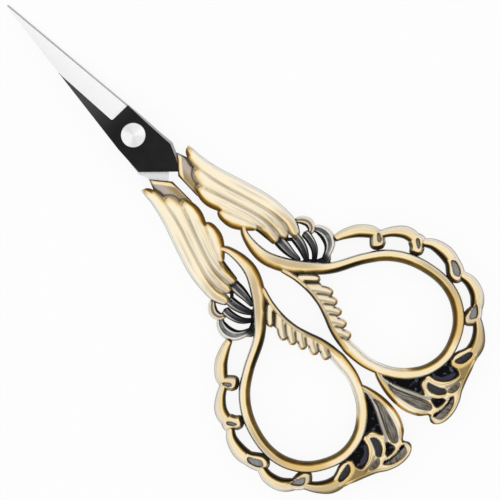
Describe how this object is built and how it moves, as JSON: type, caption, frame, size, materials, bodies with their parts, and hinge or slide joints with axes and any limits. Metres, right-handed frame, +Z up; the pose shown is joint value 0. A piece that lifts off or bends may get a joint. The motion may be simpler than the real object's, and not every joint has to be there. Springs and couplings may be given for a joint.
{
  "type": "embroidery scissors",
  "caption": "Embroidery scissors with slender pointed blades on a riveted pivot and pierced cast bows worked as feathered wings, rope twists, petals and scalloped finger rings.",
  "frame": {"origin": "on the rivet's axis, at the table under the closed scissors lying flat", "axes": "+Y from the pivot to the blade tips, +Z up through the front rivet head, +X towards the right bow"},
  "size_m": [0.0642, 0.1287, 0.0046],
  "materials": {
    "blade_steel": "satin ground steel, the unground part coated black",
    "rivet_steel": "bright turned steel",
    "bow_brass": "antique brass plate on cast zinc alloy, dark in the recesses"
  },
  "bodies": {
    "back_half": {"back_blade": "blade_steel", "left_bow": "bow_brass", "rivet_pin": "rivet_steel", "rivet_tube": "rivet_steel"},
    "front_half": {"front_blade": "blade_steel", "right_bow": "bow_brass"}
  },
  "joints": [
    {"name": "pivot", "type": "hinge", "parent": "back_half", "child": "front_half", "pos_m": [0, 0, 0.0023], "axis": [0, 0, 1], "range_deg": [0, 110]}
  ]
}
